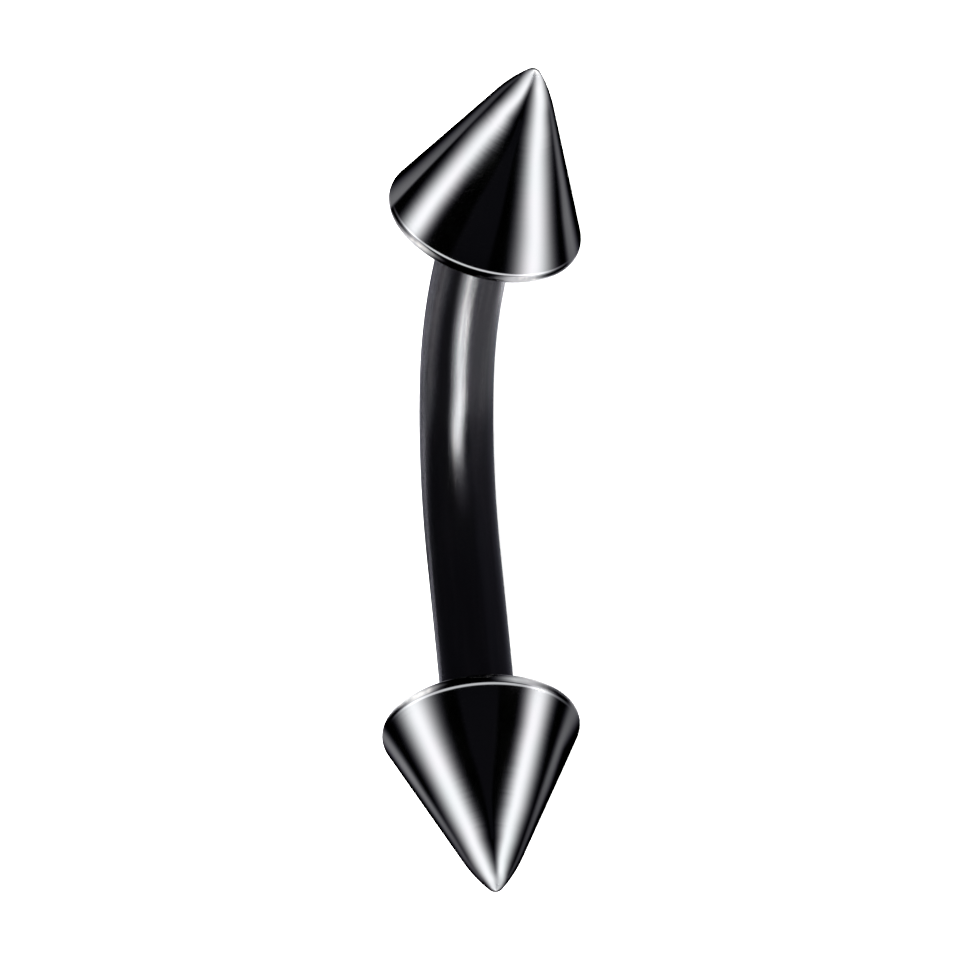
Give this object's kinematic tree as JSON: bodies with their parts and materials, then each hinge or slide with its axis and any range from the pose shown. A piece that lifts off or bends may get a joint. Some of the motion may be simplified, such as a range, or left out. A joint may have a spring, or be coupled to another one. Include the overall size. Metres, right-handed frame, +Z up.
{
  "type": "curved eyebrow barbell",
  "caption": "Curved round bar with threaded ends and a polished conical spike screwed on each end, worn through an eyebrow piercing.",
  "frame": {"origin": "on the floor, in the middle of the box round the whole barbell as it lies", "axes": "+X along the barbell towards the upper spike, +Z up, and -Y towards the hollow side of the bend"},
  "size_m": [0.0132, 0.0032, 0.0031],
  "materials": {
    "bar_steel": "drawn steel with a black coating, softly polished",
    "spike_steel": "turned steel with a black coating, polished to a mirror"
  },
  "bodies": {
    "bar": {"bar": "bar_steel"},
    "upper_spike": {"upper_spike": "spike_steel"},
    "lower_spike": {"lower_spike": "spike_steel"}
  },
  "joints": [
    {"name": "unscrew_upper", "type": "slide", "parent": "bar", "child": "upper_spike", "axis": [0.8125, -0.4956, 0.3071], "range_m": [0, 0.002]},
    {"name": "unscrew_lower", "type": "slide", "parent": "bar", "child": "lower_spike", "axis": [-0.8208, -0.3749, 0.4309], "range_m": [0, 0.002]}
  ]
}
